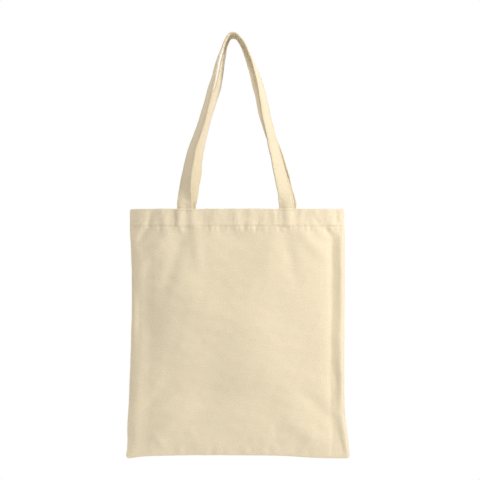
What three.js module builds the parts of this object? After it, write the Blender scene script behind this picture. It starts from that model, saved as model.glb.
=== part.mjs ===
// A canvas tote bag, hanging empty from a hook by its two handles.
// Millimetres. +Z is up, -Y is the bag's front, and the origin is where the hook carries the handles.
import * as THREE from 'three';

// ---- Cloth and clearances ----
const CLOTH = 0.8; // thickness of the canvas
const GAP = 0.3; // between two pieces that lie against each other
const FOLD_ROOM = 0.4; // between the two layers of a fold
const THREAD = 0.7; // thickness of a sewing thread

// ---- Bag ----
const BAG_HEIGHT = 405; // from the mouth down to the bottom seam, at the middle
const MOUTH_WIDTH = 349;
const BOTTOM_WIDTH = 365; // the flat bottom seam holds the bag wider than its open mouth
const FLARE_HEIGHT = 90; // the sides spread over this stretch above the bottom seam
const CORNER_DROP = 4; // the bottom corners hang this much below the middle
const MOUTH_DEPTH = 38; // front to back across the mouth, which the handles hold a little open
const BELLY_DEPTH = 36; // front to back at half height
const CLOSING_HEIGHT = 230; // the panels draw together towards the bottom seam over this stretch
const HEM = 28; // depth of the hem turned inside the mouth
const SEAM_ALLOWANCE = 10; // turned inside at the side and bottom seams
const ALLOWANCE_TRIM = 14; // how far the allowances stop short of each bottom corner
const OVERLOCK_WIDTH = 5; // how far the overlock thread reaches over the allowances
const OVERLOCK_WALL = 0.5;

// ---- Handles ----
const HANDLE_WIDTH = 25;
const HANDLE_THICKNESS = 3;
const HANDLE_SPACING = 166; // between the middles of a handle's two legs
const HANDLE_RISE = 283; // from the mouth up to the hook
const HANDLE_SHIFT = { front: -3, back: 1.8 }; // of each handle's middle from the bag's middle
const HOOK_OFFSET = -7; // the hook from the bag's middle, along X
const HANDLE_PARTING = 1.4; // between the two handles, side by side on the hook
const HOOK_REST = 6; // length of strap that lies flat on the hook
const END_STAND = 4; // the sewn ends show this much above the mouth
const SWING_GAP = 0.55; // between a sewn end and the strap that swings on it, which leans a little
const EDGE_ROW = 2.6; // edge stitching, in from the strap's edge
const TOP_ROW = 3.5; // the row through a handle end, below the mouth

const MOUTH_Z = -HANDLE_RISE;
const BAG_X = -HOOK_OFFSET;
const SEAM_LAYER = (GAP + CLOTH) / 2; // middle of an allowance, from the bag's mid-plane
const FOLD_RADIUS = (CLOTH + FOLD_ROOM) / 2;
const PANEL_LAYER = SEAM_LAYER + 2 * FOLD_RADIUS; // middle of a panel where it leaves its seam
const UP = new THREE.Vector3(0, 0, 1);

// ---- Materials ----
const canvas = new THREE.MeshStandardMaterial({ color: 0xe2d3ae, roughness: 0.95, metalness: 0 });
const strapCanvas = new THREE.MeshStandardMaterial({ color: 0xddcda6, roughness: 0.95, metalness: 0 });
const cotton = new THREE.MeshStandardMaterial({ color: 0xe9dfc4, roughness: 0.85, metalness: 0 });

const bag = new THREE.Group();

function addMesh(name, geometry, material) {
  const mesh = new THREE.Mesh(geometry, material);
  mesh.name = name;
  bag.add(mesh);
}

// ---- Solids ----

function solid(vertices, triangles) {
  const geometry = new THREE.BufferGeometry();
  const positions = vertices.flatMap((v) => v.toArray());
  geometry.setAttribute('position', new THREE.Float32BufferAttribute(positions, 3));
  geometry.setIndex(triangles.flat());
  geometry.computeVertexNormals();
  return geometry;
}

// The middle of a sheet of cloth: a lattice of points, the cells of it that are cloth, and the
// direction in which the cloth faces outward at each point. flip is for a mirrored lattice.
function lattice({ columns, rows, point, keep = () => true, flip = false }) {
  const at = (i, j) => j * columns + i;
  const middle = [];
  for (let j = 0; j < rows; j++) {
    for (let i = 0; i < columns; i++) middle.push(point(i, j));
  }
  const cells = [];
  const normals = middle.map(() => new THREE.Vector3());
  for (let j = 0; j + 1 < rows; j++) {
    for (let i = 0; i + 1 < columns; i++) {
      if (!keep(i, j)) continue;
      const ring = [at(i, j), at(i + 1, j), at(i + 1, j + 1), at(i, j + 1)];
      if (flip) ring.reverse();
      const [a, b, c, d] = ring.map((k) => middle[k]);
      const normal = c.clone().sub(a).cross(d.clone().sub(b)).normalize();
      ring.forEach((k) => normals[k].add(normal));
      cells.push(ring);
    }
  }
  normals.forEach((normal) => normal.normalize());
  return { middle, cells, normals };
}

// A closed sheet of even thickness around a lattice.
function sheet(form, thickness) {
  const { middle, cells, normals } = lattice(form);
  const outer = new Map([...new Set(cells.flat())].map((k, n) => [k, 2 * n]));
  const vertices = [...outer.keys()].flatMap((k) =>
    [1, -1].map((face) => middle[k].clone().addScaledVector(normals[k], face * thickness / 2)));
  const edges = new Map();
  const triangles = [];
  for (const ring of cells) {
    const [a, b, c, d] = ring.map((k) => outer.get(k));
    triangles.push([a, b, c], [a, c, d], [a + 1, c + 1, b + 1], [a + 1, d + 1, c + 1]);
    [[a, b], [b, c], [c, d], [d, a]].forEach(([p, q]) => edges.set(`${p} ${q}`, [p, q]));
  }
  for (const [p, q] of edges.values()) {
    if (!edges.has(`${q} ${p}`)) triangles.push([p + 1, q + 1, q], [p + 1, q, p]);
  }
  return solid(vertices, triangles);
}

// A thread with a square section. Each station of its route is { at, across }, with one direction of
// its section across the route; a closed route joins its last station to its first.
function thread(stations, closed = false) {
  const corners = [[-1, -1], [1, -1], [1, 1], [-1, 1]];
  const half = THREAD / 2;
  const count = stations.length;
  const near = (n) => stations[closed ? (n + count) % count : Math.min(Math.max(n, 0), count - 1)].at;
  const vertices = stations.flatMap(({ at, across }, n) => {
    const up = near(n + 1).clone().sub(near(n - 1)).cross(across).normalize();
    return corners.map(([a, b]) =>
      at.clone().addScaledVector(across, a * half).addScaledVector(up, b * half));
  });
  const triangles = [];
  for (let n = 0; n < (closed ? count : count - 1); n++) {
    for (let k = 0; k < 4; k++) {
      const [a, b] = [4 * n + k, 4 * n + (k + 1) % 4];
      const [c, d] = [4 * ((n + 1) % count) + (k + 1) % 4, 4 * ((n + 1) % count) + k];
      triangles.push([a, b, c], [a, c, d]);
    }
  }
  if (!closed) {
    const end = 4 * (count - 1);
    triangles.push([0, 3, 2], [0, 2, 1], [end, end + 1, end + 2], [end, end + 2, end + 3]);
  }
  return solid(vertices, triangles);
}

// ---- The bag's shape ----
// x is measured from the bag's middle and height from its bottom seam.

function halfWidth(height) {
  const spread = Math.max(0, 1 - height / FLARE_HEIGHT);
  return (MOUTH_WIDTH + (BOTTOM_WIDTH - MOUTH_WIDTH) * spread ** 1.5) / 2;
}

// How far a panel stands out from the layer where it leaves its seams: like a slack pillow that
// narrows towards the bottom.
function bulge(x, height) {
  const round = (share) => (1 - Math.min(1, share) ** 2.2) ** 0.7;
  const toMouth = height / BAG_HEIGHT;
  const depth = MOUTH_DEPTH + (BELLY_DEPTH - MOUTH_DEPTH) * Math.sin(Math.PI * toMouth);
  const across = round(Math.abs(x) / halfWidth(height));
  return (depth / 2 - PANEL_LAYER) * across * round(Math.max(0, 1 - height / CLOSING_HEIGHT));
}

// A point of the bag: layer is its distance from the bag's mid-plane, and side is -1 at the front.
function bagPoint(x, height, layer, side) {
  const drop = CORNER_DROP * Math.min(1, Math.abs(x) / halfWidth(height)) ** 4;
  const z = MOUTH_Z - (BAG_HEIGHT - height) * (1 + drop / BAG_HEIGHT);
  return new THREE.Vector3(BAG_X + x, side * layer, z);
}

const SIDES = { front: -1, back: 1 };
const HEM_LINE = BAG_HEIGHT - HEM;
const ALLOWANCE_TOP = HEM_LINE - 3; // the side allowances end just under the turned hem

// Stations in from a side seam, and then as shares of what is left of the half width.
const NEAR_SIDE = [FOLD_RADIUS, 5, ALLOWANCE_TRIM, 30];
const ACROSS = [0.78, 0.52, 0.26, 0];
const FOLD = ['tip', 'start', 'turn'];

function columnStations() {
  const left = [
    ...FOLD.map((fold) => ({ fold })),
    ...NEAR_SIDE.map((inset) => ({ inset })),
    ...ACROSS.map((share) => ({ share })),
  ].map((station) => ({ ...station, sign: -1 }));
  const right = left.slice(0, -1).reverse().map((station) => ({ ...station, sign: 1 }));
  return [...left, ...right];
}

function columnX({ fold, inset, share, sign }, height) {
  const half = halfWidth(height);
  if (fold) return sign * (half - { tip: FOLD_RADIUS + SEAM_ALLOWANCE, start: FOLD_RADIUS, turn: 0 }[fold]);
  if (inset) return sign * (half - inset);
  return sign * share * (half - NEAR_SIDE.at(-1));
}

function rowStations() {
  const low = [FOLD_RADIUS, 5, ALLOWANCE_TRIM, 28, 48, 80, 120];
  const steps = 4;
  const span = ALLOWANCE_TOP - low.at(-1);
  const middle = Array.from({ length: steps }, (_, k) => low.at(-1) + span * (k + 1) / steps);
  const high = [HEM_LINE, HEM_LINE + HEM / 2, BAG_HEIGHT - FOLD_RADIUS];
  return [
    ...FOLD.map((fold) => ({ fold })),
    ...[...low, ...middle, ...high].map((height) => ({ height })),
    { hem: 'turn', height: BAG_HEIGHT },
    { hem: 'inside', height: BAG_HEIGHT - FOLD_RADIUS },
    { hem: 'inside', height: HEM_LINE + HEM / 2 },
    { hem: 'inside', height: HEM_LINE },
  ];
}

const COLUMNS = columnStations();
const ROWS = rowStations();

// One panel: the outer cloth, its allowances turned in at the sides and the bottom, and its hem.
function panelPoint(column, row, side) {
  const heights = { tip: FOLD_RADIUS + SEAM_ALLOWANCE, start: FOLD_RADIUS, turn: 0 };
  const height = row.fold ? heights[row.fold] : row.height;
  const x = columnX(column, height);
  const fold = column.fold ?? row.fold;
  if (fold) return bagPoint(x, height, fold === 'turn' ? SEAM_LAYER + FOLD_RADIUS : SEAM_LAYER, side);
  const turned = { turn: FOLD_RADIUS, inside: 2 * FOLD_RADIUS }[row.hem] ?? 0;
  return bagPoint(x, height, PANEL_LAYER + bulge(x, height) - turned, side);
}

function panelCell(i, j) {
  const [columns, rows] = [[COLUMNS[i], COLUMNS[i + 1]], [ROWS[j], ROWS[j + 1]]];
  const [sideFold, bottomFold] = [columns.some((c) => c.fold), rows.some((r) => r.fold)];
  const hem = rows.some((r) => r.hem);
  if (sideFold && (bottomFold || hem)) return false;
  if (hem) return true;
  if (columns.some((c) => c.fold === 'tip')) {
    return rows.every((r) => r.height >= ALLOWANCE_TRIM && r.height <= ALLOWANCE_TOP);
  }
  if (rows.some((r) => r.fold === 'tip')) return columns.every((c) => !(c.inset < ALLOWANCE_TRIM));
  return true;
}

function panel(side) {
  return sheet({
    columns: COLUMNS.length,
    rows: ROWS.length,
    point: (i, j) => panelPoint(COLUMNS[i], ROWS[j], side),
    keep: panelCell,
    flip: side > 0,
  }, CLOTH);
}

// ---- Seams ----

// The overlock thread: a trough over the edges of the two allowances, at one inset from the seam.
const TROUGH = (() => {
  const tip = FOLD_RADIUS + SEAM_ALLOWANCE;
  const wall = SEAM_LAYER + CLOTH / 2 + GAP + OVERLOCK_WALL / 2;
  const floor = tip + GAP + OVERLOCK_WALL / 2;
  const half = [[tip - OVERLOCK_WIDTH, wall], [tip, wall], [floor, wall / 2]];
  return [...half, ...half.map(([inset, layer]) => [inset, -layer]).reverse()];
})();

function sideOverlock(sign) {
  const rows = ROWS.filter((r) => !r.hem && r.height >= ALLOWANCE_TRIM && r.height <= ALLOWANCE_TOP);
  return sheet({
    columns: TROUGH.length,
    rows: rows.length,
    point: (i, j) => {
      const [inset, layer] = TROUGH[i];
      return bagPoint(sign * (halfWidth(rows[j].height) - inset), rows[j].height, layer, 1);
    },
    flip: sign < 0,
  }, OVERLOCK_WALL);
}

function bottomOverlock() {
  const columns = COLUMNS.filter((c) => !c.fold && !(c.inset < ALLOWANCE_TRIM));
  return sheet({
    columns: TROUGH.length,
    rows: columns.length,
    point: (i, j) => bagPoint(columnX(columns[j], TROUGH[i][0]), TROUGH[i][0], TROUGH[i][1], 1),
  }, OVERLOCK_WALL);
}

// One row of stitches right round the mouth, where the hem ends.
function hemStitching() {
  const out = CLOTH / 2 + GAP + THREAD / 2;
  const row = (side) => COLUMNS.filter((c) => !c.fold).map((column) => {
    const x = columnX(column, HEM_LINE);
    return bagPoint(x, HEM_LINE, PANEL_LAYER + bulge(x, HEM_LINE), side);
  });
  const turn = (sign, side) => bagPoint(sign * halfWidth(HEM_LINE), HEM_LINE, SEAM_LAYER + FOLD_RADIUS, side);
  const outline = [...row(-1), turn(1, -1), turn(1, 1), ...row(1).reverse(), turn(-1, 1), turn(-1, -1)];
  const normals = outline.map((at, n) =>
    outline[(n + 1) % outline.length].clone().sub(at).cross(UP).normalize());
  return thread(outline.map((at, n) => {
    const mitre = normals[n].clone().add(normals.at(n - 1)).normalize();
    return { at: at.addScaledVector(mitre, out / mitre.dot(normals[n])), across: UP };
  }), true);
}

// ---- Handles ----

const endLayer = (x, height) =>
  PANEL_LAYER + bulge(x, height) - 2 * FOLD_RADIUS - CLOTH / 2 - GAP - HANDLE_THICKNESS / 2;

const legX = (name, sign) => HANDLE_SHIFT[name] + sign * HANDLE_SPACING / 2;

// A sewn end: flat against the inside of the hem, and standing a little above the mouth.
function handleEnd(name, sign) {
  const heights = [HEM_LINE + 1, HEM_LINE + HEM / 2, BAG_HEIGHT, BAG_HEIGHT + END_STAND];
  const middle = legX(name, sign);
  return sheet({
    columns: 3,
    rows: heights.length,
    point: (i, j) => {
      const x = middle + (i - 1) * HANDLE_WIDTH / 2;
      const height = Math.min(heights[j], BAG_HEIGHT);
      return bagPoint(x, heights[j], endLayer(x, height), SIDES[name]);
    },
    flip: SIDES[name] > 0,
  }, HANDLE_THICKNESS);
}

function topRow(name, sign) {
  const height = BAG_HEIGHT - TOP_ROW;
  const out = CLOTH / 2 + GAP + THREAD / 2;
  const stations = [-1, 0, 1].map((step) => {
    const x = legX(name, sign) + step * HANDLE_WIDTH / 2;
    return bagPoint(x, height, PANEL_LAYER + bulge(x, height) + out, SIDES[name]);
  });
  return thread(stations.map((at) => ({ at, across: UP })));
}

// Each leg's way from the mouth to the hook: how far up it has come, how far out it still is, both
// as shares of the whole, and how far the strap has turned on its length, in degrees.
const LEGS = {
  front: {
    left: [
      [0.055, 0.996, 14], [0.105, 0.988, 32], [0.2, 0.95, 46], [0.31, 0.876, 54],
      [0.51, 0.638, 62], [0.72, 0.44, 72], [0.905, 0.256, 86], [0.972, 0.14, 90],
    ],
    right: [
      [0.055, 0.985, 10], [0.105, 0.955, 22], [0.2, 0.88, 35], [0.31, 0.795, 45],
      [0.51, 0.644, 55], [0.72, 0.492, 66], [0.89, 0.3, 84], [0.968, 0.16, 90],
    ],
  },
  back: {
    left: [
      [0.055, 0.975, 14], [0.105, 0.918, 32], [0.2, 0.84, 46], [0.31, 0.773, 55],
      [0.51, 0.6, 62], [0.72, 0.343, 74], [0.9, 0.209, 84], [0.968, 0.13, 90],
    ],
    right: [
      [0.055, 0.984, 12], [0.105, 0.952, 27], [0.2, 0.893, 41], [0.31, 0.805, 51],
      [0.51, 0.576, 62], [0.72, 0.413, 66], [0.9, 0.24, 76], [0.965, 0.14, 86],
    ],
  },
};
const LEG_STEPS = 3; // stations between two points of a leg

// The middle of one leg's strap, from just above its sewn end up to its side of the hook.
function legStations(name, sign) {
  const apexY = SIDES[name] * (HANDLE_PARTING + HANDLE_WIDTH) / 2;
  const rootX = BAG_X + legX(name, sign);
  const rootY = SIDES[name] * endLayer(legX(name, sign), BAG_HEIGHT);
  const start = (END_STAND + SWING_GAP) / HANDLE_RISE;
  const straight = [[start, 1, 0], [start + 0.012, 1, 2]];
  const shares = [...straight, ...LEGS[name][sign < 0 ? 'left' : 'right']];
  const points = shares.map(([up, out]) =>
    new THREE.Vector3(out * rootX, THREE.MathUtils.lerp(rootY, apexY, up), -HANDLE_RISE * (1 - up)));
  const top = new THREE.Vector3(sign * HOOK_REST / 2, apexY, HANDLE_THICKNESS / 2);
  const path = new THREE.CatmullRomCurve3([...points, top]);
  const turns = new THREE.CatmullRomCurve3([...shares.map(([, , turn]) => turn), 90].map((turn, n) =>
    new THREE.Vector3(n, turn, 0)));
  const steps = shares.length * LEG_STEPS;
  return Array.from({ length: steps + 1 }, (_, n) =>
    ({ at: path.getPoint(n / steps), turn: THREE.MathUtils.degToRad(turns.getPoint(n / steps).y) }));
}

// The strap that swings, as a lattice from leg to leg. Both its ends stand square on the sewn ends,
// and its columns lie at its edges and under its rows of edge stitching.
const EDGE_INSET = HANDLE_WIDTH / 2 - EDGE_ROW;
const STRAP_COLUMNS = [-HANDLE_WIDTH / 2, -EDGE_INSET, EDGE_INSET, HANDLE_WIDTH / 2];

function strapForm(name) {
  const side = SIDES[name];
  const route = [...legStations(name, -1), ...legStations(name, 1).reverse()];
  const chords = route.slice(1).map(({ at }, n) => at.clone().sub(route[n].at).normalize());
  const across = route.map(({ turn }, n) => {
    const along = UP.clone();
    if (n === chords.length) along.negate();
    else if (n > 0) along.copy(chords[n - 1]).add(chords[n]).normalize();
    const direction = new THREE.Vector3(0, 1, 0).cross(along).normalize().multiplyScalar(Math.cos(turn));
    return direction.setY(side * Math.sin(turn));
  });
  return {
    columns: STRAP_COLUMNS.length,
    rows: route.length,
    point: (i, j) => route[j].at.clone().addScaledVector(across[j], STRAP_COLUMNS[i]),
    flip: side > 0,
  };
}

// A row of stitches near one edge of a strap, on its outward face over one column of its lattice.
function edgeStitching(form, column) {
  const { middle, normals } = lattice(form);
  const out = HANDLE_THICKNESS / 2 + GAP + THREAD / 2;
  const rows = Array.from({ length: form.rows - 2 }, (_, n) => (n + 1) * form.columns + column);
  return thread(rows.map((k) => ({
    at: middle[k].clone().addScaledVector(normals[k], out),
    across: middle[k + 1].clone().sub(middle[k]).normalize(),
  })));
}

// ---- Assembly ----

for (const [name, side] of Object.entries(SIDES)) {
  addMesh(`${name}_panel`, panel(side), canvas);
  for (const [where, sign] of [['left', -1], ['right', 1]]) {
    addMesh(`${name}_${where}_handle_end`, handleEnd(name, sign), strapCanvas);
    addMesh(`${name}_${where}_top_stitching`, topRow(name, sign), cotton);
  }
  const strap = strapForm(name);
  addMesh(`${name}_handle`, sheet(strap, HANDLE_THICKNESS), strapCanvas);
  addMesh(`${name}_handle_outer_stitching`, edgeStitching(strap, 1), cotton);
  addMesh(`${name}_handle_inner_stitching`, edgeStitching(strap, 2), cotton);
}
addMesh('left_seam_overlock', sideOverlock(-1), cotton);
addMesh('right_seam_overlock', sideOverlock(1), cotton);
addMesh('bottom_seam_overlock', bottomOverlock(), cotton);
addMesh('hem_stitching', hemStitching(), cotton);

export default bag;
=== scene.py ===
"""A canvas tote bag that hangs empty by its two handles.

+Z is up, -Y is the bag's front, and the origin is where the hook carries the handles. Lengths are
in millimetres until a mesh is made. A point of the cloth is given by x, measured from the bag's
middle, and height, measured from its bottom seam; side is -1 at the front and 1 at the back.
"""

import bpy
import numpy as np
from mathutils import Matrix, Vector


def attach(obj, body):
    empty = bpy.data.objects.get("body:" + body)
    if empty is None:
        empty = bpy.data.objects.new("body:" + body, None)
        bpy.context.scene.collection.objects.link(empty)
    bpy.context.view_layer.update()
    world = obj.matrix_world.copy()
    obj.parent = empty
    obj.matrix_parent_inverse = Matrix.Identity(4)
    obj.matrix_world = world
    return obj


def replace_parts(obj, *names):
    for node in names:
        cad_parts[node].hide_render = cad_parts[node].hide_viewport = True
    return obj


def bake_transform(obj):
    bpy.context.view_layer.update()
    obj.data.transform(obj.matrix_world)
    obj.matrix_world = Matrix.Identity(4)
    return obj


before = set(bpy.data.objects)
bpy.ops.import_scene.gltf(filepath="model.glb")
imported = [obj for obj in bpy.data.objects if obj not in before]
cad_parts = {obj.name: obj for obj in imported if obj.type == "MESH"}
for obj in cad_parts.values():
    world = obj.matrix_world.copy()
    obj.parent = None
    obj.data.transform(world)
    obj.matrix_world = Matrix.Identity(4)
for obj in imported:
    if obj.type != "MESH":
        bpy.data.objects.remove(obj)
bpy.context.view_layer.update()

MM = 0.001
FRONT, BACK = -1, 1
LEFT, RIGHT = -1, 1
NAMES = {FRONT: "front", BACK: "back"}

# ---- Cloth, as in the CAD model ----
CLOTH = 0.8
GAP = 0.3
FOLD_RADIUS = 0.6  # of the cloth's middle where it is folded flat
SEAM_LAYER = (GAP + CLOTH) / 2
PANEL_LAYER = SEAM_LAYER + 2 * FOLD_RADIUS
THREAD = 0.75  # thickness of the sewing thread

# ---- Bag, as in the CAD model ----
BAG_X = 7
MOUTH_Z = -283
BAG_HEIGHT = 405
MOUTH_WIDTH = 349
BOTTOM_WIDTH = 365
FLARE_HEIGHT = 90
CORNER_DROP = 4
MOUTH_DEPTH = 38
BELLY_DEPTH = 36
CLOSING_HEIGHT = 230
HEM = 28
HEM_LINE = BAG_HEIGHT - HEM
ALLOWANCE = 10.6
ALLOWANCE_TOP = HEM_LINE - 3

# ---- Handles, as in the CAD model ----
HANDLE_WIDTH = 25
HANDLE_THICKNESS = 3
HALF_STRAP = HANDLE_WIDTH / 2
HANDLE_SPACING = 166
HANDLE_SHIFT = {FRONT: -3, BACK: 1.8}
HANDLE_PARTING = 1.4
HOOK_REST = 6
END_STAND = 4
SWING_GAP = 0.55
EDGE_ROW = 2.6
TOP_ROW = 3.5

STITCH = 3.4  # from one stitch to the next


# ---- Curves and soft shapes ----

def smooth(stations, t):
    """A smooth curve at t through stations, which are rows of (t, value, ...)."""
    table = np.asarray(stations, float)
    knots, values = table[:, 0], table[:, 1:]
    slopes = np.gradient(values, knots, axis=0)
    t = np.clip(np.asarray(t, float), knots[0], knots[-1])
    i = np.clip(np.searchsorted(knots, t) - 1, 0, len(knots) - 2)
    span = (knots[i + 1] - knots[i])[..., None]
    u = (t - knots[i])[..., None] / span
    ends = (2 * u**3 - 3 * u**2 + 1) * values[i] + (3 * u**2 - 2 * u**3) * values[i + 1]
    turns = (u**3 - 2 * u**2 + u) * slopes[i] + (u**3 - u**2) * slopes[i + 1]
    return ends + turns * span


def profile(stations, t):
    """The same for stations that have one value each."""
    return smooth(stations, t)[..., 0]


def ease(low, high, t):
    """0 below low, 1 above high, and smooth between them."""
    u = np.clip((t - low) / (high - low), 0, 1)
    return u * u * (3 - 2 * u)


def ripples(x, y, wavelength, seed, waves=14):
    """Smooth, even unrest with bumps of about that wavelength, mostly between -1 and 1."""
    chance = np.random.default_rng(seed)
    total = 0
    for _ in range(waves):
        turn, phase = chance.uniform(0, 2 * np.pi, 2)
        pace = 2 * np.pi / wavelength * chance.uniform(0.6, 1.3)
        total = total + np.cos(pace * (x * np.cos(turn) + y * np.sin(turn)) + phase)
    return total / np.sqrt(waves)


def crease(x, height, start, end, width, lift):
    """A soft ridge, or a valley where lift is negative, that fades out towards both its ends."""
    run_x, run_y = end[0] - start[0], end[1] - start[1]
    length = np.hypot(run_x, run_y)
    along = ((x - start[0]) * run_x + (height - start[1]) * run_y) / length**2
    off = ((x - start[0]) * run_y - (height - start[1]) * run_x) / length
    fade = np.clip(1 - (2 * along - 1) ** 2, 0, 1)
    return lift * fade * np.exp(-((off / width) ** 2))


# ---- Outline and depth of the bag ----

# How far each side seam strays outward from the CAD model's, by height.
SEAM_DRIFT = {
    LEFT: [(0, 0.5), (18, 0.3), (45, 3.2), (65, 4.2), (92, 3.4), (126, 2.2), (200, -0.4),
           (280, -1.5), (337, -0.2), (375, 1.6), (405, 1.6)],
    RIGHT: [(0, 1.2), (30, 2.2), (60, 1.2), (92, 0.5), (126, 0.1), (200, 0.4), (280, 0.8),
            (360, 0.8), (385, 0.2), (405, -0.4)],
}
# How far the bottom seam hangs above the CAD model's, by x.
BOTTOM_DRIFT = [(-183, 0.6), (-155, 1.9), (-120, 2.0), (0, 1.9), (70, 1.2), (130, -1.3),
                (155, -0.9), (183, 0.8)]
BOTTOM_CORNER = 6  # radius
MOUTH_CORNER = 2  # radius


def half_width(height):
    """Half the flat bag's width, which flares towards the bottom."""
    spread = np.clip(1 - height / FLARE_HEIGHT, 0, 1)
    return (MOUTH_WIDTH + (BOTTOM_WIDTH - MOUTH_WIDTH) * spread**1.5) / 2


def bulge(x, height):
    """How far a panel stands out from its seams, as a slack pillow does that narrows to its bottom."""
    def rounded(share):
        return (1 - np.clip(share, 0, 1) ** 2.2) ** 0.7

    up = np.clip(height / BAG_HEIGHT, 0, 1)
    depth = MOUTH_DEPTH + (BELLY_DEPTH - MOUTH_DEPTH) * np.sin(np.pi * up)
    across = rounded(np.abs(x) / half_width(height))
    return (depth / 2 - PANEL_LAYER) * across * rounded(1 - height / CLOSING_HEIGHT)


# ---- Folds, seams and hem ----

FOLD_STRENGTH = 2.2
# Each fold of a panel: where it starts and ends, its half width, and how far it lifts the cloth.
FOLDS = {
    FRONT: [
        ((-141, 405), (-144, 372), 5, -0.6),
        ((-118, 405), (-120, 360), 8, 0.5),
        ((-140, 384), (-168, 342), 5.5, -0.9),
        ((-96, 385), (-168, 300), 10, 1.0),
        ((-84, 380), (-128, 250), 12, -1.0),
        ((-70, 378), (-62, 300), 9, 0.7),
        ((162, 408), (162, 380), 3.6, -0.6),
        ((108, 404), (106, 370), 4.5, -0.5),
        ((120, 402), (140, 366), 5, -0.5),
        ((154, 358), (140, 378), 4.5, -0.9),
        ((88, 382), (150, 318), 10, 0.9),
        ((74, 378), (98, 270), 11, -0.8),
        ((62, 374), (40, 290), 12, 0.6),
        ((-40, 372), (30, 352), 12, -0.7),
        ((-172, 60), (-96, 128), 14, -1.6),
        ((-150, 20), (-60, 92), 16, 1.2),
        ((168, 52), (92, 118), 14, -1.2),
        ((150, 16), (70, 70), 14, 1.0),
        ((-112, 2), (-140, 44), 6, 0.45),
        ((-58, 2), (-84, 52), 8, 0.35),
        ((-26, 2), (-10, 46), 8, -0.3),
        ((34, 2), (20, 40), 7, 0.3),
        ((70, 2), (58, 56), 9, -0.35),
        ((104, 2), (126, 50), 7, 0.4),
        ((-60, 190), (70, 230), 22, 0.8),
        ((-110, 110), (90, 90), 26, -0.9),
    ],
    BACK: [
        ((-130, 350), (-138, 150), 9, 0.8),
        ((-88, 382), (-150, 300), 10, 1.0),
        ((-74, 376), (-52, 262), 12, -0.9),
        ((84, 384), (158, 296), 11, 1.1),
        ((96, 378), (76, 250), 11, -0.9),
        ((150, 330), (154, 140), 6, 1.2),
        ((30, 372), (-36, 348), 13, -0.7),
        ((-160, 30), (-84, 122), 15, 1.3),
        ((164, 40), (90, 130), 15, -1.4),
        ((-60, 4), (-56, 74), 7, 0.9),
        ((-8, 4), (-16, 66), 7, -0.8),
        ((52, 6), (58, 82), 6, 0.9),
        ((112, 4), (104, 64), 6, -0.8),
        ((-80, 210), (60, 170), 24, 0.9),
    ],
}

# The lip along each side seam, over the turned-in allowances: how far in from the seam, and how far
# it lifts the cloth. LIP_REACH says how much of it there is at each height.
SEAM_LIP = {
    LEFT: [(0, 0), (3, 0.7), (9, 1.4), (15, 1.0), (24, -0.4), (31, -0.9), (40, -0.5), (52, 0)],
    RIGHT: [(0, 0), (2.5, 1.7), (5, 2.6), (7, 2.2), (13, -0.7), (19.5, -3.3), (21.5, -3.7),
            (23.5, -2.9), (29, -1.2), (40, 0)],
}
LIP_REACH = {
    LEFT: [(0, 0), (30, 0.5), (90, 0.8), (200, 1), (320, 1), (360, 0.4), (405, 0)],
    RIGHT: [(0, 0), (12, 0.7), (35, 1), (60, 0.8), (76, 0.35), (94, 0.8), (130, 1), (300, 1),
            (350, 1), (368, 0.25), (380, 0), (405, 0)],
}


def seam_lip(x, height, inset):
    """The cloth's lift along the side seams, which follows whichever side is nearer."""
    strayed = inset + 1.1 * ripples(height, 0, 44, 76) + 0.45 * ripples(height, 0, 13, 77)

    def lip(sign):
        reach = np.clip(profile(LIP_REACH[sign], height), 0, 1)
        return profile(SEAM_LIP[sign], np.maximum(strayed, 0)) * reach

    return np.where(x < 0, lip(LEFT), lip(RIGHT))


def leg_x(side, sign):
    """The x of the middle of a handle's leg at the mouth."""
    return HANDLE_SHIFT[side] + sign * HANDLE_SPACING / 2


def hem_shape(x, height, side):
    """Pleats of the hem, the pull of its stitches, and the sewn handle ends that press through it."""
    above = height - HEM_LINE
    in_hem = ease(-16, 2, above)
    pleats = 0.7 * ripples(x, above * 0.15, 22, 31 + side) + 0.13 * ripples(x, above * 0.3, 7, 41 + side)
    unrest = 0.65 + 0.35 * ripples(x, 0, 7, 51 + side)
    dots = 1 + 0.7 * np.cos(2 * np.pi * x / STITCH)
    groove = -0.3 * unrest * dots * np.exp(-((above / 1.6) ** 2))
    banks = 0.2 * np.exp(-(((np.abs(above) - 3.2) / 2) ** 2)) * (1 + 0.6 * ripples(x, above, 5, 61 + side))
    scallops = 0.3 * ripples(x, 0, 8, 66 + side) * np.exp(-(((above + 4) / 4) ** 2))
    top_groove = 0  # the pull of the row under the top edge
    imprint = 0  # of the sewn end: its face, a rib and a hollow beside it, and a knot below it
    for sign in (LEFT, RIGHT):
        off = x - leg_x(side, sign)
        inside = ease(HALF_STRAP + 1.6, HALF_STRAP - 0.8, np.abs(off))
        imprint = imprint + 0.8 * inside * ease(-3.5, 1, above)
        rib = np.exp(-(((off - HALF_STRAP - 2.5) / 1.7) ** 2))
        hollow = np.exp(-(((off + HALF_STRAP + 3.5) / 2.2) ** 2))
        imprint = imprint + (0.45 * rib - 0.5 * hollow) * ease(-8, 4, above)
        row = np.exp(-(((height - BAG_HEIGHT + TOP_ROW) / 1.1) ** 2))
        top_groove = top_groove - 0.5 * row * inside
        knot = ((off + 4.5) / 4.5) ** 2 + ((above + 6.5) / 4) ** 2
        imprint = imprint + np.exp(-knot)
    return pleats * in_hem + groove + banks + scallops + top_groove + imprint


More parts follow.
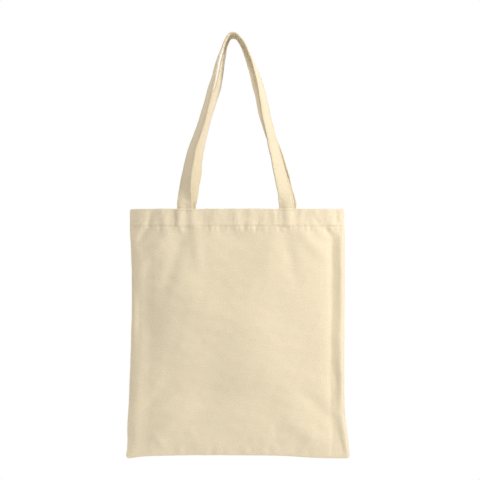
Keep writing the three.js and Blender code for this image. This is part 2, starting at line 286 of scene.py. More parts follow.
def folds(x, height, side):
    """The cloth's own unrest and folds, which die away at the seams."""
    inset = half_width(height) - np.abs(x)
    free = ease(0.6, 14, inset) * ease(0.6, 22, height)
    lift = 1.5 * ripples(x, height * 0.7, 150, 11 + side)
    lift = lift + 0.55 * ripples(x, height * 0.8, 62, 21 + side)
    lift = lift + 0.13 * ripples(x, height, 22, 27 + side)
    calm = 1 - 0.7 * ease(HEM_LINE - 30, HEM_LINE, height)
    lift = lift * calm
    for start, end, width, amount in FOLDS[side]:
        lift = lift + FOLD_STRENGTH * crease(x, height, start, end, width, amount)
    lip = seam_lip(x, height, inset)
    seam_pull = 0.22 * ripples(height, 0, 15, 71 + side) * np.exp(-((inset / 12) ** 2))
    foot_pull = 0.5 * ripples(x, 0, 16, 81 + side) * np.exp(-((height / 16) ** 2)) * ease(0.4, 5, height)
    edge = ease(0.4, 4, inset) * ease(0.4, 4, height)
    return lift * free + (lip + seam_pull) * edge + foot_pull + hem_shape(x, height, side) * edge


def stand(x, height, side):
    """The distance of the outer cloth's middle from the bag's mid-plane. It leaves room for the loops of
    the overlock, except close to the seams."""
    height = np.minimum(height, BAG_HEIGHT)
    lifted = bulge(x, height) + folds(x, height, side)
    over_loops = ease(0.8, 5, height) * ease(0.8, 5, half_width(height) - np.abs(x))
    return PANEL_LAYER + np.maximum(lifted, 0.75 * over_loops - 0.15)


def outline(x, height):
    """Where a point of the flat bag hangs: its X and Z, with the seams' drift and the round corners."""
    half = half_width(height)
    share = np.clip(np.abs(x) / half, 0, 1)
    sign = np.where(x < 0, LEFT, RIGHT)
    drift = np.where(x < 0, profile(SEAM_DRIFT[LEFT], height), profile(SEAM_DRIFT[RIGHT], height))
    wander = 0.16 * ripples(height, 0, 30, 5) + 0.05 * ripples(height, 0, 9, 6)
    near = np.exp(-((half - np.abs(x)) / 10))
    low = np.clip(BOTTOM_CORNER - height, 0, BOTTOM_CORNER)
    high = np.clip(MOUTH_CORNER - (BAG_HEIGHT - height), 0, MOUTH_CORNER)
    cut = BOTTOM_CORNER - np.sqrt(BOTTOM_CORNER**2 - low**2)
    cut = cut + MOUTH_CORNER - np.sqrt(MOUTH_CORNER**2 - high**2)
    across = x + sign * (drift * share**3 + (wander - cut) * near)
    drop = CORNER_DROP * share**4
    down = (BAG_HEIGHT - height) * (1 + drop / BAG_HEIGHT)
    lift = profile(BOTTOM_DRIFT, x) * (1 - ease(0, 120, height))
    lift = lift + 0.3 * ripples(x, 0, 45, 8) * ease(BAG_HEIGHT - 60, BAG_HEIGHT, height)
    return BAG_X + across, MOUTH_Z - down + lift


def place(x, height, layer, side):
    """Points at x and height, layer away from the bag's mid-plane."""
    across, up = outline(x, height)
    return np.stack([across, side * layer + 0 * across, up], axis=-1)


def outer_cloth(x, height, side, lift=0):
    """Points of the outer cloth, moved out of it by lift, and the directions that face out of it."""
    def at(a, b):
        return place(a, b, stand(a, b, side), side)

    x, height = np.broadcast_arrays(np.asarray(x, float), np.asarray(height, float))
    step = 0.4  # short, so that the normals follow the stitches' grooves
    low, high = np.clip(height - step, 0, None), height + step
    along_x = at(x + step, height) - at(x - step, height)
    along_h = at(x, high) - at(x, low)
    normal = np.cross(along_x, along_h) * -side
    normal /= np.linalg.norm(normal, axis=-1, keepdims=True)
    return at(x, height) + np.asarray(lift)[..., None] * normal, normal


# ---- Meshes ----

def unit(vectors):
    """The same directions at length 1."""
    return vectors / np.maximum(np.linalg.norm(vectors, axis=-1, keepdims=True), 1e-9)


def make_mesh(name, points, faces, cloth_map, material):
    """An object from points in millimetres. cloth_map holds each point's place on its flat cloth."""
    mesh = bpy.data.meshes.new(name)
    mesh.from_pydata((np.asarray(points) * MM).tolist(), [], faces)
    corner = np.empty(len(mesh.loops), int)
    mesh.loops.foreach_get("vertex_index", corner)
    flat = mesh.uv_layers.new(name="cloth")
    flat.data.foreach_set("uv", (np.asarray(cloth_map)[corner] * MM).ravel())
    mesh.materials.append(material)
    mesh.shade_smooth()
    mesh.validate()
    piece = bpy.data.objects.new(name, mesh)
    bpy.context.scene.collection.objects.link(piece)
    return piece


def cloth_sheet(name, middle, cloth_map, keep, thickness, flip, material):
    """A closed sheet of even thickness around a lattice of points (rows, columns, 3). keep says which of
    the lattice's cells are cloth, and flip turns the sheet's faces over."""
    rows, columns = middle.shape[:2]
    index = np.arange(rows * columns).reshape(rows, columns)
    rings = np.stack([index[:-1, :-1], index[:-1, 1:], index[1:, 1:], index[1:, :-1]], axis=-1)[keep]
    if flip:
        rings = rings[:, ::-1]
    flat = middle.reshape(-1, 3)
    a, b, c, d = (flat[rings[:, k]] for k in range(4))
    facing = unit(np.cross(c - a, d - b))
    normals = np.zeros_like(flat)
    for k in range(4):
        np.add.at(normals, rings[:, k], facing)
    normals = unit(normals)
    used = np.unique(rings)
    place_of = np.full(len(flat), -1)
    place_of[used] = np.arange(len(used))
    rings = place_of[rings]
    count = len(used)
    half = normals[used] * thickness / 2
    points = np.concatenate([flat[used] + half, flat[used] - half])
    edges = set()
    for k in range(4):
        edges.update(zip(rings[:, k].tolist(), rings[:, (k + 1) % 4].tolist()))
    rim = [(p + count, q + count, q, p) for p, q in edges if (q, p) not in edges]
    faces = rings.tolist() + (rings[:, ::-1] + count).tolist() + sorted(rim)
    flat_map = np.asarray(cloth_map).reshape(-1, 2)[used]
    return make_mesh(name, points, faces, np.concatenate([flat_map, flat_map]), material)


def skin(rings, corners):
    """The faces of a closed tube whose points lie in rings, each with the same number of corners."""
    index = np.arange(rings * corners).reshape(rings, corners)
    following = np.roll(index, -1, axis=1)
    quads = np.stack([index[:-1], following[:-1], following[1:], index[1:]], axis=-1).reshape(-1, 4)
    return quads.tolist() + [index[0][::-1].tolist(), index[-1].tolist()]


# ---- Panels ----

EVEN_INSET = 14  # from here inwards a panel's columns are evenly spaced
EVEN_COLUMNS = 160
FOOT_CLEAR = 11.5  # how far the bottom allowance stays from the side seams, past their allowances
HEM_CLEAR = 3  # how far the hem's inside stays from the side seams
ROUNDING = 1e-6


def fold_stations():
    """The turned-in allowance, from its raw edge round the fold, as (distance in from the seam, drop below
    the outer cloth)."""
    flat = [(inset, 2 * FOLD_RADIUS) for inset in (ALLOWANCE, 7.8, 5, 2.4)]
    arc = [(FOLD_RADIUS * (1 - np.sin(a)), FOLD_RADIUS * (1 + np.cos(a)))
           for a in np.radians([0, 30, 60, 90, 120, 150])]
    return flat + arc


def panel_columns():
    """Columns of a panel's lattice as (sign, inset, share, drop). A column has either an inset from the
    seam or a share of the half width that is left within EVEN_INSET."""
    insets = (0.6, 1.4, 2.4, 3.6, 5, 6.6, 8.4, 10.4, 12.4, EVEN_INSET)
    left = [(LEFT, inset, None, drop) for inset, drop in fold_stations()]
    left += [(LEFT, inset, None, 0) for inset in insets]
    shares = [2 * k / EVEN_COLUMNS - 1 for k in range(1, EVEN_COLUMNS)]
    middle = [(LEFT if share < 0 else RIGHT, None, share, 0) for share in shares]
    right = [(RIGHT, inset, share, drop) for _, inset, share, drop in reversed(left)]
    return left + middle + right


def panel_rows():
    """Rows of a panel's lattice as (height, drop, part)."""
    foot = [(height, drop, "foot") for height, drop in fold_stations()]
    near_row = (0.5, 1, 1.6, 2.3, 3, 3.8, 4.8, 6)  # close together, for the groove of the stitches
    heights = [0.6, 1.4, 2.4, 3.8, 5.6, 7.8, 10.4, 13.2]
    heights += list(np.linspace(16.4, HEM_LINE - 12, 103))
    heights += [HEM_LINE - step for step in (9.5, 7.5, *reversed(near_row))]
    heights += [HEM_LINE + step for step in (0, *near_row)]
    heights += list(np.linspace(HEM_LINE + 7.8, BAG_HEIGHT - 6, 9))
    heights += [BAG_HEIGHT - step for step in (5, 4.2, 3.5, 2.8, 2, 1.2, 0.6)]
    outer = [(height, 0, "outer") for height in heights]
    arc = [(BAG_HEIGHT - FOLD_RADIUS * (1 - np.sin(a)), FOLD_RADIUS * (1 - np.cos(a)), "hem")
           for a in np.radians([30, 60, 90, 120, 150, 180])]
    inside = [(BAG_HEIGHT - step, 2 * FOLD_RADIUS, "hem") for step in
              (2, 4, 7, 10, 13, 16, 19, 22, 24, 26, 27, 28, 29, 29.8)]
    return foot + outer + arc + inside


def panel(side, material):
    """One panel: its outer cloth, the allowances turned in at its sides and bottom, and its hem."""
    columns, rows = panel_columns(), panel_rows()
    row_height = np.array([row[0] for row in rows])
    half = half_width(row_height)
    x = np.empty((len(rows), len(columns)))
    for j, (sign, inset, share, _) in enumerate(columns):
        x[:, j] = sign * (half - inset) if inset is not None else share * (half - EVEN_INSET)
    height = np.repeat(row_height[:, None], len(columns), axis=1)
    side_drop = np.array([column[3] for column in columns])[None, :]
    row_drop = np.array([row[1] for row in rows])[:, None]
    is_hem = np.array([row[2] == "hem" for row in rows])[:, None]
    lifted = stand(x, height, side) - PANEL_LAYER
    turned_in = (side_drop > 0) | ((row_drop > 0) & ~is_hem)
    layer = PANEL_LAYER - np.maximum(side_drop, row_drop) + np.where(turned_in, 0, lifted)
    middle = place(x, height, layer, side)

    fold = np.array([column[3] > 0 for column in columns])
    turned_under = 2 * FOLD_RADIUS - ROUNDING
    allowance = np.array([column[3] >= turned_under and column[1] > 1 for column in columns])
    inset = np.array([EVEN_INSET if column[1] is None else column[1] for column in columns])
    foot = np.array([row[2] == "foot" for row in rows])
    foot_under = np.array([row[2] == "foot" and row[1] > FOLD_RADIUS + ROUNDING for row in rows])
    inside = np.array([row[2] == "hem" and row[1] > FOLD_RADIUS + ROUNDING for row in rows])
    over = row_height > ALLOWANCE_TOP

    def rows_with(flags):
        return (flags[:-1] | flags[1:])[:, None]

    def columns_with(flags):
        return (flags[:-1] | flags[1:])[None, :]

    keep = np.ones((len(rows) - 1, len(columns) - 1), bool)
    keep &= ~(rows_with(foot) & columns_with(fold))
    keep &= ~(rows_with(foot_under) & columns_with(inset < FOOT_CLEAR))
    keep &= ~(rows_with(inside) & columns_with(inset < HEM_CLEAR))
    keep &= ~(rows_with(over) & columns_with(allowance))
    flat_map = np.stack([x, height], axis=-1)
    flat_map[..., 0] = np.where(side_drop > FOLD_RADIUS, 2 * np.sign(x) * half[:, None] - x, x)
    below = np.where(row_drop > FOLD_RADIUS, -height, height)
    flat_map[..., 1] = np.where(is_hem, 2 * BAG_HEIGHT - height, below)
    piece = cloth_sheet(f"{NAMES[side]}_canvas", middle, flat_map, keep, CLOTH, side == BACK, material)
    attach(piece, "bag")
    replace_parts(piece, f"{NAMES[side]}_panel")
    return piece


# ---- Handles ----

# Each leg's way from the mouth to the hook, as in the CAD model: how far up it has come, how far
# out it still is, both as shares of the whole, and how far the strap has turned, in degrees.
LEGS = {
    (FRONT, LEFT): [
        (0.055, 0.996, 14), (0.105, 0.988, 32), (0.2, 0.95, 46), (0.31, 0.876, 54),
        (0.51, 0.638, 62), (0.72, 0.44, 72), (0.905, 0.256, 86), (0.972, 0.14, 90),
    ],
    (FRONT, RIGHT): [
        (0.055, 0.985, 10), (0.105, 0.955, 22), (0.2, 0.88, 35), (0.31, 0.795, 45),
        (0.51, 0.644, 55), (0.72, 0.492, 66), (0.89, 0.3, 84), (0.968, 0.16, 90),
    ],
    (BACK, LEFT): [
        (0.055, 0.975, 14), (0.105, 0.918, 32), (0.2, 0.84, 46), (0.31, 0.773, 55),
        (0.51, 0.6, 62), (0.72, 0.343, 74), (0.9, 0.209, 84), (0.968, 0.13, 90),
    ],
    (BACK, RIGHT): [
        (0.055, 0.984, 12), (0.105, 0.952, 27), (0.2, 0.893, 41), (0.31, 0.805, 51),
        (0.51, 0.576, 62), (0.72, 0.413, 66), (0.9, 0.24, 76), (0.965, 0.14, 86),
    ],
}
SEWN_DEPTH = 27  # how far a sewn end reaches below the mouth
END_CLEAR = 0.4  # keeps a sewn end off the hem's wrinkles
# From the outer cloth's middle to a sewn end's middle.
END_LAYER = 2 * FOLD_RADIUS + CLOTH / 2 + GAP + HANDLE_THICKNESS / 2
EDGE_INSET = HALF_STRAP - EDGE_ROW
STRAP_STEP = 0.85  # from one ring of a strap's mesh to the next
STRAP_NOTCH = 0.85  # depth of the notch along the edge where the strap's folds meet


def leg_stations(side, sign):
    """Rows of (x, y, z, turn in radians) from a sewn end's foot up to the hook."""
    rise = -MOUTH_Z
    top_y = side * (HANDLE_PARTING + HANDLE_WIDTH) / 2
    root_x = leg_x(side, sign)
    root_y = side * float(PANEL_LAYER + bulge(root_x, BAG_HEIGHT) - END_LAYER)
    start = (END_STAND + SWING_GAP) / rise
    stations = [(root_x + BAG_X, root_y, MOUTH_Z + up, 0) for up in (-SEWN_DEPTH, -SEWN_DEPTH / 2, -3)]
    for up, out, turn in [(start, 1, 0), (start + 0.012, 1, 2), *LEGS[side, sign]]:
        y = root_y + (top_y - root_y) * up
        stations.append((out * (root_x + BAG_X), y, MOUTH_Z + rise * up, np.radians(turn)))
    stations.append((sign * HOOK_REST / 2, top_y, HANDLE_THICKNESS / 2, np.pi / 2))
    return stations


class Strap:
    """A folded strap, from one sewn end over the hook to the other."""

    def __init__(self, side):
        self.side = side
        stations = np.array(leg_stations(side, LEFT) + leg_stations(side, RIGHT)[::-1])
        gaps = np.linalg.norm(np.diff(stations[:, :3], axis=0), axis=1)
        self.route = np.column_stack([np.concatenate([[0], np.cumsum(gaps)]), stations])
        fine = np.linspace(0, self.route[-1, 0], 1400)
        line = smooth(self.route, fine)[:, :3]
        lengths = np.concatenate([[0], np.cumsum(np.linalg.norm(np.diff(line, axis=0), axis=1))])
        self.length = lengths[-1]
        self.reach = fine, lengths

    def frame(self, s):
        """The strap's middle, and the directions across and out of it, at the distance s along it."""
        fine, lengths = self.reach
        t = np.interp(s, lengths, fine)
        row = smooth(self.route, t)
        middle, turn = row[..., :3], row[..., 3:]
        step = 1.2
        along = unit(smooth(self.route, t + step)[..., :3] - smooth(self.route, t - step)[..., :3])
        level = unit(np.cross([0, 1, 0], along))
        across = unit(level * np.cos(turn) + np.array([0, 1, 0]) * self.side * np.sin(turn))
        out = unit(np.cross(across, along)) * -self.side
        return middle, across, out

    def half_thickness(self, u, s, face):
        """Half the strap's thickness at u across it, thinner under its rows of stitches."""
        seed = 90 + self.side * 3 + face
        radius = HANDLE_THICKNESS / 2
        into_edge = np.clip(np.abs(u) - (HALF_STRAP - radius), 0, radius)
        side_arc = np.sqrt(np.clip(radius**2 - into_edge**2, 0, None))
        off = (np.abs(u) - EDGE_INSET) / 0.9
        pull = 0.24 * np.exp(-(off**2)) * (0.8 + 0.3 * np.cos(2 * np.pi * s / STITCH))
        unrest = 0.1 * ripples(u, s, 9, seed) * ease(HALF_STRAP, HALF_STRAP - 2, np.abs(u))
        plump = 0.12 * (1 - (u / EDGE_INSET) ** 2) + unrest
        return side_arc - pull + plump * ease(HALF_STRAP, HALF_STRAP - 1.5, np.abs(u))

    def creases(self, u, s):
        """Cross creases where the strap bends and turns, the same through its thickness."""
        chance = np.random.default_rng(120 + self.side)
        total = 0.25 * ripples(s, u * 0.6, 34, 130 + self.side)
        for at in chance.uniform(0.04, 0.96, 26) * self.length:
            slant = chance.uniform(-0.5, 0.5)
            width = chance.uniform(1.2, 3.5)
            lift = chance.uniform(-0.3, 0.22)
            total = total + lift * np.exp(-(((s - at + slant * u) / width) ** 2))
        return total

    def at(self, s, u, v):
        """Points at the distance s along the strap, u across it and v out of its middle."""
        s, u, v = np.broadcast_arrays(*(np.asarray(value, float) for value in (s, u, v)))
        middle, across, out = self.frame(s)
        from_end = np.minimum(s, self.length - s)
        loose = ease(SEWN_DEPTH + 2, SEWN_DEPTH + 26, from_end)
        curl = 0.7 * ripples(s, 0, 120, 140 + self.side) * (u / HALF_STRAP) ** 2
        lift = v + (self.creases(u, s) + curl) * loose
        wander = 0.35 * ripples(s, 0, 40, 150 + self.side) * loose
        free = middle + across * (u + wander)[..., None] + out * lift[..., None]
        sign = np.where(s < self.length / 2, LEFT, RIGHT)
        x = np.where(s < self.length / 2, leg_x(self.side, LEFT) + u, leg_x(self.side, RIGHT) - u)
        height = BAG_HEIGHT - SEWN_DEPTH + from_end
        cloth, normal = outer_cloth(x, np.minimum(height, BAG_HEIGHT - 1), self.side)
        sewn = cloth + normal * (v - END_LAYER - END_CLEAR)[..., None]
        sewn[..., [0, 2]] = free[..., [0, 2]]  # only its depth follows the cloth
        apart = ease(SEWN_DEPTH - 1, SEWN_DEPTH + 30, from_end)[..., None]
        return sewn * (1 - apart) + free * apart


def strap_section():
    """Places round the strap's section as (u, face): 1 on its upper face, -1 on its lower and 0 between."""
    radius = HANDLE_THICKNESS / 2
    flat = HALF_STRAP - radius
    arc = [flat + radius * np.sin(a) for a in np.radians([22, 42, 60, 76])]
    half = [0, 2.5, 5, 7, 8.3, 9, 9.5, EDGE_INSET, 10.3, 10.7, flat, *arc]
    top = [(-u, 1) for u in reversed(half[1:])] + [(u, 1) for u in half]
    bottom = [(u, -1) for u, _ in reversed(top)]
    return [(-HALF_STRAP, 0), *top, (HALF_STRAP - STRAP_NOTCH, 0), *bottom]


def strap_mesh(strap, material):
    """A strap with its two sewn ends, as one closed skin."""
    side, name = strap.side, NAMES[strap.side]
    u, face = np.array(strap_section()).T
    rings = int(strap.length / STRAP_STEP)
    s = np.linspace(0, strap.length, rings)[:, None]
    v = np.where(face >= 0, strap.half_thickness(u, s, 1), -strap.half_thickness(u, s, -1))
    points = strap.at(s, u, v * np.abs(face))
    faces = skin(rings, len(u))
    if side == BACK:
        faces = [corners[::-1] for corners in faces]
    around = np.where(face >= 0, u, HANDLE_WIDTH + 4 - u)  # the lower face lies beside the upper
    flat_map = np.stack(np.broadcast_arrays(around[None, :], s), axis=-1).reshape(-1, 2)
    piece = make_mesh(f"{name}_strap", points.reshape(-1, 3), faces, flat_map, material)
    bend_over_mouth(piece, side)
    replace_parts(piece, f"{name}_handle", f"{name}_left_handle_end", f"{name}_right_handle_end")
    return piece


def bend_over_mouth(piece, side):
    """Moves the piece's transform into its mesh."""
    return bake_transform(piece)


# ---- Stitches ----

STITCH_COVER = 0.82  # the share of a stitch that shows
OFF_CLOTH = 0.08  # from the cloth to the line of a row of stitches
THREAD_CORNERS = 6


def stitches(name, runs, material, seed):
    """Sewing stitches along runs of (points, normals): each is a short thread that dips in at both ends."""
    chance = np.random.default_rng(seed)
    girth = np.array([0.35, 0.8, 1, 1, 1, 0.8, 0.35]) * THREAD / 2
    points, faces, flat_map = [], [], []
    t = np.linspace(0, 1, len(girth))
    arch = THREAD * (-0.75 + 1.1 * np.sin(np.pi * t) ** 0.6)
    turn = np.linspace(0, 2 * np.pi, THREAD_CORNERS, endpoint=False)
    stitch_faces = skin(len(girth), THREAD_CORNERS)
    for line, normals in runs:
        reach = np.concatenate([[0], np.cumsum(np.linalg.norm(np.diff(line, axis=0), axis=1))])
        count = max(1, int(round(reach[-1] / STITCH)))
        pitch = reach[-1] / count
        for k in range(count):
            start = (k + 0.5 - STITCH_COVER / 2) * pitch
            end = (k + 0.5 + STITCH_COVER / 2) * pitch
            s = start + (end - start) * t + chance.normal(0, 0.05)
            at = np.stack([np.interp(s, reach, line[:, i]) for i in range(3)], axis=-1)
            normal = unit(np.stack([np.interp(s, reach, normals[:, i]) for i in range(3)], axis=-1))
            along = unit(at[-1] - at[0])
            across = unit(np.cross(normal, along))
            slant = chance.normal(0.1, 0.05) * (2 * t - 1) + chance.normal(0, 0.05)
            middle = at + normal * arch[:, None] + across * slant[:, None]
            ring = across[:, None] * np.cos(turn)[None, :, None]
            ring = ring + normal[:, None] * np.sin(turn)[None, :, None] * 0.8
            base = len(points)
            points.extend((middle[:, None] + ring * girth[:, None, None]).reshape(-1, 3))
            flat_map.extend((a * THREAD, b) for b in s for a in turn)
            faces.extend([base + corner for corner in face] for face in stitch_faces)
    piece = make_mesh(name, points, faces, flat_map, material)
    return piece


def hem_stitches(material):
    """The row of stitches round the mouth, outside the bag and inside it."""
    runs = []
    for side in (FRONT, BACK):
        half = half_width(HEM_LINE) - 1
        x = np.linspace(-half, half, 420)
        runs.append(outer_cloth(x, HEM_LINE, side, CLOTH / 2 + OFF_CLOTH))
        x = np.linspace(-half + 4, half - 4, 420)
        line, normals = outer_cloth(x, HEM_LINE, side, -2 * FOLD_RADIUS - CLOTH / 2 - OFF_CLOTH)
        runs.append((line, -normals))
    piece = stitches("hem_stitches", runs, material, seed=3)
    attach(piece, "bag")
    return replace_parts(piece, "hem_stitching")


def top_stitches(side, material):
    """The short rows just under the top edge that hold a handle's two ends."""
    runs = []
    for sign in (LEFT, RIGHT):
        x = leg_x(side, sign) + np.linspace(-HALF_STRAP - 1, HALF_STRAP + 1, 40)
        runs.append(outer_cloth(x, BAG_HEIGHT - TOP_ROW, side, CLOTH / 2 + OFF_CLOTH))
    piece = stitches(f"{NAMES[side]}_top_stitches", runs, material, seed=5 + side)
    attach(piece, "bag")
    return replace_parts(piece, f"{NAMES[side]}_left_top_stitching", f"{NAMES[side]}_right_top_stitching")


def edge_stitches(strap, material):
    """The two rows of stitches on each face of a strap."""
    side = strap.side
    s = np.linspace(1.5, strap.length - 1.5, 1500)
    runs = []
    for u in (-EDGE_INSET, EDGE_INSET):
        for face in (1, -1):
            v = face * (strap.half_thickness(np.full_like(s, u), s, face) + 0.06)
            line = strap.at(s, u, v)
            normals = unit(line - strap.at(s, u, 0 * v))
            runs.append((line, normals))
    piece = stitches(f"{NAMES[side]}_strap_stitches", runs, material, seed=7 + side)
    bend_over_mouth(piece, side)
    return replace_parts(piece, f"{NAMES[side]}_handle_inner_stitching",
                       f"{NAMES[side]}_handle_outer_stitching")


def thread_tube(points, thickness):
    """Points and faces of a closed tube along a line."""
    points = np.asarray(points, float)
    along = unit(np.gradient(points, axis=0))
    guide = np.array([0.31, 0.57, 0.76])
    across = unit(np.cross(along, guide))
    out = np.cross(along, across)
    turn = np.linspace(0, 2 * np.pi, THREAD_CORNERS, endpoint=False)
    ring = across[:, None] * np.cos(turn)[None, :, None] + out[:, None] * np.sin(turn)[None, :, None]
    tube = (points[:, None] + ring * thickness / 2).reshape(-1, 3)
    return tube, skin(len(points), THREAD_CORNERS)


def overlock(name, node, route, length, material):
    """Thread looped round the edge of two seam allowances, with a row along each side of them. route gives
    a point from how far along the seam it is, how far in from the seam and on which layer."""
    pitch, reach, thickness = 2.4, 5, 0.5
    tip = ALLOWANCE + 0.55
    wall = SEAM_LAYER + CLOTH / 2 + thickness / 2 + 0.05
    points = []
    for k in range(int(length / pitch)):
        s = k * pitch
        for share, inset, layer in [(0, tip, 0), (0.12, tip - 0.5, wall), (0.25, tip - reach, wall),
                                    (0.4, tip - 0.5, wall), (0.5, tip, 0), (0.62, tip - 0.5, -wall),
                                    (0.75, tip - reach, -wall), (0.9, tip - 0.5, -wall)]:
            points.append(route(s + share * pitch, inset, layer))
    tube, faces = thread_tube(points, thickness)
    for layer in (wall + 0.1, -wall - 0.1):
        line = [route(s, tip - reach + 0.3 * np.sin(np.pi * s / pitch), layer)
                for s in np.arange(0, length, pitch / 3)]
        row, more = thread_tube(line, thickness)
        faces += [[a + len(tube) for a in face] for face in more]
        tube = np.concatenate([tube, row])
    piece = make_mesh(name, tube, faces, tube[:, [0, 2]], material)
    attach(piece, "bag")
    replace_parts(piece, node)
    return piece


def side_overlock(sign, material):
    name = "left" if sign == LEFT else "right"

    def route(s, inset, layer):
        height = np.float64(12 + s)
        return place(sign * (half_width(height) - inset), height, layer, 1)

    return overlock(f"{name}_seam_loops", f"{name}_seam_overlock", route, ALLOWANCE_TOP - 14, material)


def bottom_overlock(material):
    half = half_width(ALLOWANCE) - 24

    def route(s, inset, layer):
        return place(np.float64(s - half), np.float64(inset), layer, 1)

    return overlock("bottom_seam_loops", "bottom_seam_overlock", route, 2 * half, material)


# ---- Materials ----

class Tree:
    """A material's node tree, with one call for each node."""

    def __init__(self, name):
        self.material = bpy.data.materials.new(name)
        self.material.use_nodes = True
        self.nodes = self.material.node_tree.nodes
        self.links = self.material.node_tree.links
        self.surface = self.nodes["Principled BSDF"]

    def set(self, node, key, value):
        socket = node.inputs[key]
        if isinstance(value, bpy.types.NodeSocket):
            self.links.new(value, socket)
        else:
            socket.default_value = value

    def add(self, kind, inputs=(), output=0, **settings):
        node = self.nodes.new(f"ShaderNode{kind}")
        for key, value in settings.items():
            setattr(node, key, value)
        for key, value in dict(inputs).items():
            self.set(node, key, value)
        return node.outputs[output]

    def math(self, operation, a, b=0.0, clamp=False):
        return self.add("Math", {0: a, 1: b}, operation=operation, use_clamp=clamp)

    def ramp(self, value, low, high, to_low=0.0, to_high=1.0):
        return self.add("MapRange", {0: value, 1: low, 2: high, 3: to_low, 4: to_high})

    def scaled(self, vector, scale):
        return self.add("Mapping", {"Vector": vector, "Scale": scale})

    def flat_cloth(self):
        """Each point's place on its flat cloth, in millimetres."""
        return self.scaled(self.add("UVMap", uv_map="cloth"), (1 / MM, 1 / MM, 1 / MM))

    def noise(self, vector, scale, detail, rough):
        return self.add("TexNoise", {"Vector": vector, "Scale": scale, "Detail": detail, "Roughness": rough})

    def blend(self, factor, a, b):
        node = self.nodes.new("ShaderNodeMix")
        node.data_type = "RGBA"
        for key, value in ((0, factor), (6, a), (7, b)):
            self.set(node, key, value)
        return node.outputs[2]


YARN = 0.62  # from one yarn of the canvas to the next
WEAVE_DEPTH = 0.00024
FLECK = (0.30, 0.19, 0.09, 1)  # the colour of bits of seed husk
FLECK_SHARE = 0.34
TWIST_DEPTH = 0.00012


def canvas_material(name, light, dark):
    """Plain-weave cotton canvas: two sets of yarns over and under each other, uneven yarns, seed flecks,
    mottling and painted shade in the gaps between the yarns, in millimetres on the flat cloth."""
    tree = Tree(name)
    flat = tree.flat_cloth()
    stray = tree.add("TexNoise", {"Vector": flat, "Scale": 0.09}, output=1)
    drift = tree.add("VectorMath", {0: stray, 1: (0.5, 0.5, 0.5)}, operation="SUBTRACT")
    wavy = tree.add("VectorMath", {0: drift, 1: (0.9, 0.9, 0), 2: flat}, operation="MULTIPLY_ADD")
    parts = tree.nodes.new("ShaderNodeSeparateXYZ")
    tree.links.new(wavy, parts.inputs[0])
    warp = tree.math("SINE", tree.math("MULTIPLY", parts.outputs[0], np.pi / YARN))
    weft = tree.math("SINE", tree.math("MULTIPLY", parts.outputs[1], np.pi / YARN))
    weave = tree.math("MULTIPLY", warp, weft)
    gaps = tree.math("MULTIPLY", tree.math("ABSOLUTE", warp), tree.math("ABSOLUTE", weft))

    slub_up = tree.noise(tree.scaled(flat, (0.9, 0.05, 1)), 1, 3, 0.6)
    slub_across = tree.noise(tree.scaled(flat, (0.045, 0.8, 1)), 1, 3, 0.6)
    slubs = tree.math("ADD", slub_up, slub_across)
    grain = tree.noise(flat, 0.5, 4, 0.75)
    mottle = tree.noise(flat, 0.02, 4, 0.6)
    tone = tree.ramp(slubs, 0.72, 1.28, -0.15, 0.15)
    tone = tree.math("ADD", tone, tree.ramp(grain, 0.25, 0.75, -0.9, 0.9))
    tone = tree.math("ADD", tone, tree.ramp(mottle, 0.3, 0.7, -0.12, 0.12))
    # painted shade: the tone is darker in the gaps between the yarns
    tone = tree.math("ADD", tone, tree.ramp(gaps, 0.0, 0.7, -0.2, 0.1))
    tone = tree.math("ADD", tone, 0.55, clamp=True)
    colour = tree.blend(tone, (*dark, 1), (*light, 1))

    cell = tree.nodes.new("ShaderNodeTexVoronoi")
    tree.set(cell, "Vector", tree.scaled(flat, (0.16, 0.1, 1)))
    tree.set(cell, "Scale", 1.0)
    near = tree.ramp(cell.outputs["Distance"], 0.03, 0.065, 1.0, 0.0)
    chosen = tree.ramp(tree.add("SeparateColor", {0: cell.outputs["Color"]}), 1 - FLECK_SHARE, 1.0)
    fleck = tree.math("MULTIPLY", near, chosen, clamp=True)
    colour = tree.blend(fleck, colour, FLECK)

    height = tree.math("ADD", tree.math("MULTIPLY", weave, 0.5), tree.math("MULTIPLY", slubs, 0.65))
    height = tree.math("ADD", height, tree.math("MULTIPLY", grain, 1.1))
    bump = tree.add("Bump", {"Height": height, "Strength": 0.9, "Distance": WEAVE_DEPTH})
    tree.set(tree.surface, "Base Color", colour)
    tree.set(tree.surface, "Normal", bump)
    tree.set(tree.surface, "Roughness", tree.ramp(grain, 0.2, 0.8, 0.8, 0.98))
    tree.set(tree.surface, "Specular IOR Level", 0.25)
    tree.set(tree.surface, "Sheen Weight", 0.25)
    tree.set(tree.surface, "Sheen Roughness", 0.55)
    return tree.material


def thread_material(name, colour):
    """Twisted cotton thread, with painted shade in the grooves of its twist."""
    tree = Tree(name)
    flat = tree.flat_cloth()
    parts = tree.nodes.new("ShaderNodeSeparateXYZ")
    tree.links.new(flat, parts.inputs[0])
    around = tree.math("MULTIPLY", parts.outputs[0], 5.6)
    twist = tree.math("SINE", tree.math("ADD", around, tree.math("MULTIPLY", parts.outputs[1], 9.0)))
    fuzz = tree.noise(flat, 3.0, 3, 0.7)
    # painted shade: the thread is darker in the grooves of its twist; the fuzz adds random tone
    tone = tree.ramp(twist, -1, 1, 0.15, 0.75)
    tone = tree.math("ADD", tone, tree.ramp(fuzz, 0.3, 0.7, -0.2, 0.2), clamp=True)
    shade = tuple(0.72 * c for c in colour)
    tree.set(tree.surface, "Base Color", tree.blend(tone, (*shade, 1), (*colour, 1)))
    relief = tree.math("ADD", twist, fuzz)
    bump = tree.add("Bump", {"Height": relief, "Strength": 0.6, "Distance": TWIST_DEPTH})
    tree.set(tree.surface, "Normal", bump)
    tree.set(tree.surface, "Roughness", tree.ramp(fuzz, 0.2, 0.8, 0.7, 0.92))
    tree.set(tree.surface, "Sheen Weight", 0.2)
    return tree.material


# ---- Stage ----

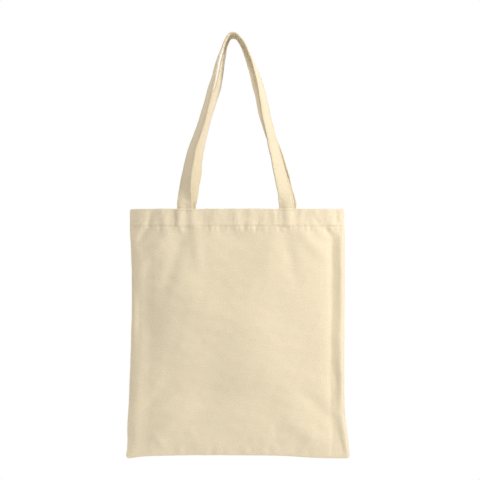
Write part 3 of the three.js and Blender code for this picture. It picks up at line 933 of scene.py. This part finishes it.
# In metres.
FLOOR_RADIUS = 1.3
FLOOR_LEVEL = -1.02
VIEW_AT = (0.011, 0, -0.3335)
CAMERA_AT = (0.011, -1.8, -0.3335)
LENS = 82.3
BAG_MIDDLE = (0, 0, -0.4)


def look_at(thing, target):
    thing.rotation_euler = (Vector(target) - thing.location).to_track_quat("-Z", "Y").to_euler()


def add_camera():
    camera = bpy.data.objects.new("camera", bpy.data.cameras.new("camera"))
    camera.location = CAMERA_AT
    look_at(camera, VIEW_AT)
    camera.data.lens = LENS
    bpy.context.scene.collection.objects.link(camera)
    bpy.context.scene.camera = camera


def add_softbox(name, place_at, target, size, watts):
    """A square lamp that faces the target."""
    lamp = bpy.data.lights.new(name, "AREA")
    lamp.shape, lamp.size, lamp.size_y = "RECTANGLE", size, size
    lamp.energy = watts
    light = bpy.data.objects.new(name, lamp)
    light.location = place_at
    look_at(light, target)
    bpy.context.scene.collection.objects.link(light)


def add_world():
    """Soft light from all round, behind a background that the camera sees as plain white."""
    world = bpy.data.worlds.new("studio")
    world.use_nodes = True
    nodes, links = world.node_tree.nodes, world.node_tree.links
    surroundings = nodes["Background"]
    surroundings.inputs["Strength"].default_value = 0.38
    seen = nodes.new("ShaderNodeBackground")
    seen.inputs["Strength"].default_value = 1.0
    for sky in (surroundings, seen):
        sky.inputs["Color"].default_value = (1, 1, 1, 1)
    rays = nodes.new("ShaderNodeLightPath")
    mix = nodes.new("ShaderNodeMixShader")
    links.new(rays.outputs["Is Camera Ray"], mix.inputs[0])
    links.new(surroundings.outputs[0], mix.inputs[1])
    links.new(seen.outputs[0], mix.inputs[2])
    links.new(mix.outputs[0], nodes["World Output"].inputs["Surface"])
    bpy.context.scene.world = world


def add_floor():
    """A pale round floor that fades out into the background towards its rim."""
    mesh = bpy.data.meshes.new("floor")
    corners = 96
    turn = np.linspace(0, 2 * np.pi, corners, endpoint=False)
    rim = np.stack([np.cos(turn), np.sin(turn), 0 * turn], axis=-1) * FLOOR_RADIUS
    mesh.from_pydata(rim.tolist(), [], [tuple(range(corners))])
    floor = bpy.data.objects.new("floor", mesh)
    floor.location = (0, 0, FLOOR_LEVEL)
    bpy.context.scene.collection.objects.link(floor)
    tree = Tree("floor_paint")
    from_middle = tree.add("VectorMath", {0: tree.add("TexCoord", output=3)}, output=1, operation="LENGTH")
    solid = tree.ramp(from_middle, 0.45 * FLOOR_RADIUS, 0.97 * FLOOR_RADIUS, 1.0, 0.0)
    tree.set(tree.surface, "Alpha", solid)
    tree.set(tree.surface, "Base Color", (0.93, 0.93, 0.93, 1))
    tree.set(tree.surface, "Roughness", 0.9)
    mesh.materials.append(tree.material)


bpy.context.scene.view_settings.view_transform = "Standard"
add_camera()
add_world()
add_floor()
add_softbox("key", (1.3, -1.05, 0.55), BAG_MIDDLE, 0.4, 34)
add_softbox("side", (-1.6, 0.4, 0.15), (0, 0, -0.15), 0.5, 15)
add_softbox("back", (1.1, 1.7, 0.5), BAG_MIDDLE, 1.0, 26)
add_softbox("fill", (-0.3, -1.9, 0.3), BAG_MIDDLE, 1.2, 6)

# ---- Assembly ----

canvas = canvas_material("canvas", light=(0.81, 0.698, 0.50), dark=(0.685, 0.578, 0.40))
strap_canvas = canvas_material("strap_canvas", light=(0.77, 0.66, 0.465), dark=(0.65, 0.54, 0.365))
thread = thread_material("sewing_thread", (0.82, 0.715, 0.515))
overlock_thread = thread_material("overlock_thread", (0.80, 0.72, 0.54))

straps = {side: Strap(side) for side in (FRONT, BACK)}
strap_pieces = {side: strap_mesh(straps[side], strap_canvas) for side in (FRONT, BACK)}
panels = {side: panel(side, canvas) for side in (FRONT, BACK)}
hem_row = hem_stitches(thread)
seams = [side_overlock(sign, overlock_thread) for sign in (LEFT, RIGHT)]
seams.append(bottom_overlock(overlock_thread))
for side in (FRONT, BACK):
    top_row = top_stitches(side, thread)
    edge_rows = edge_stitches(straps[side], thread)
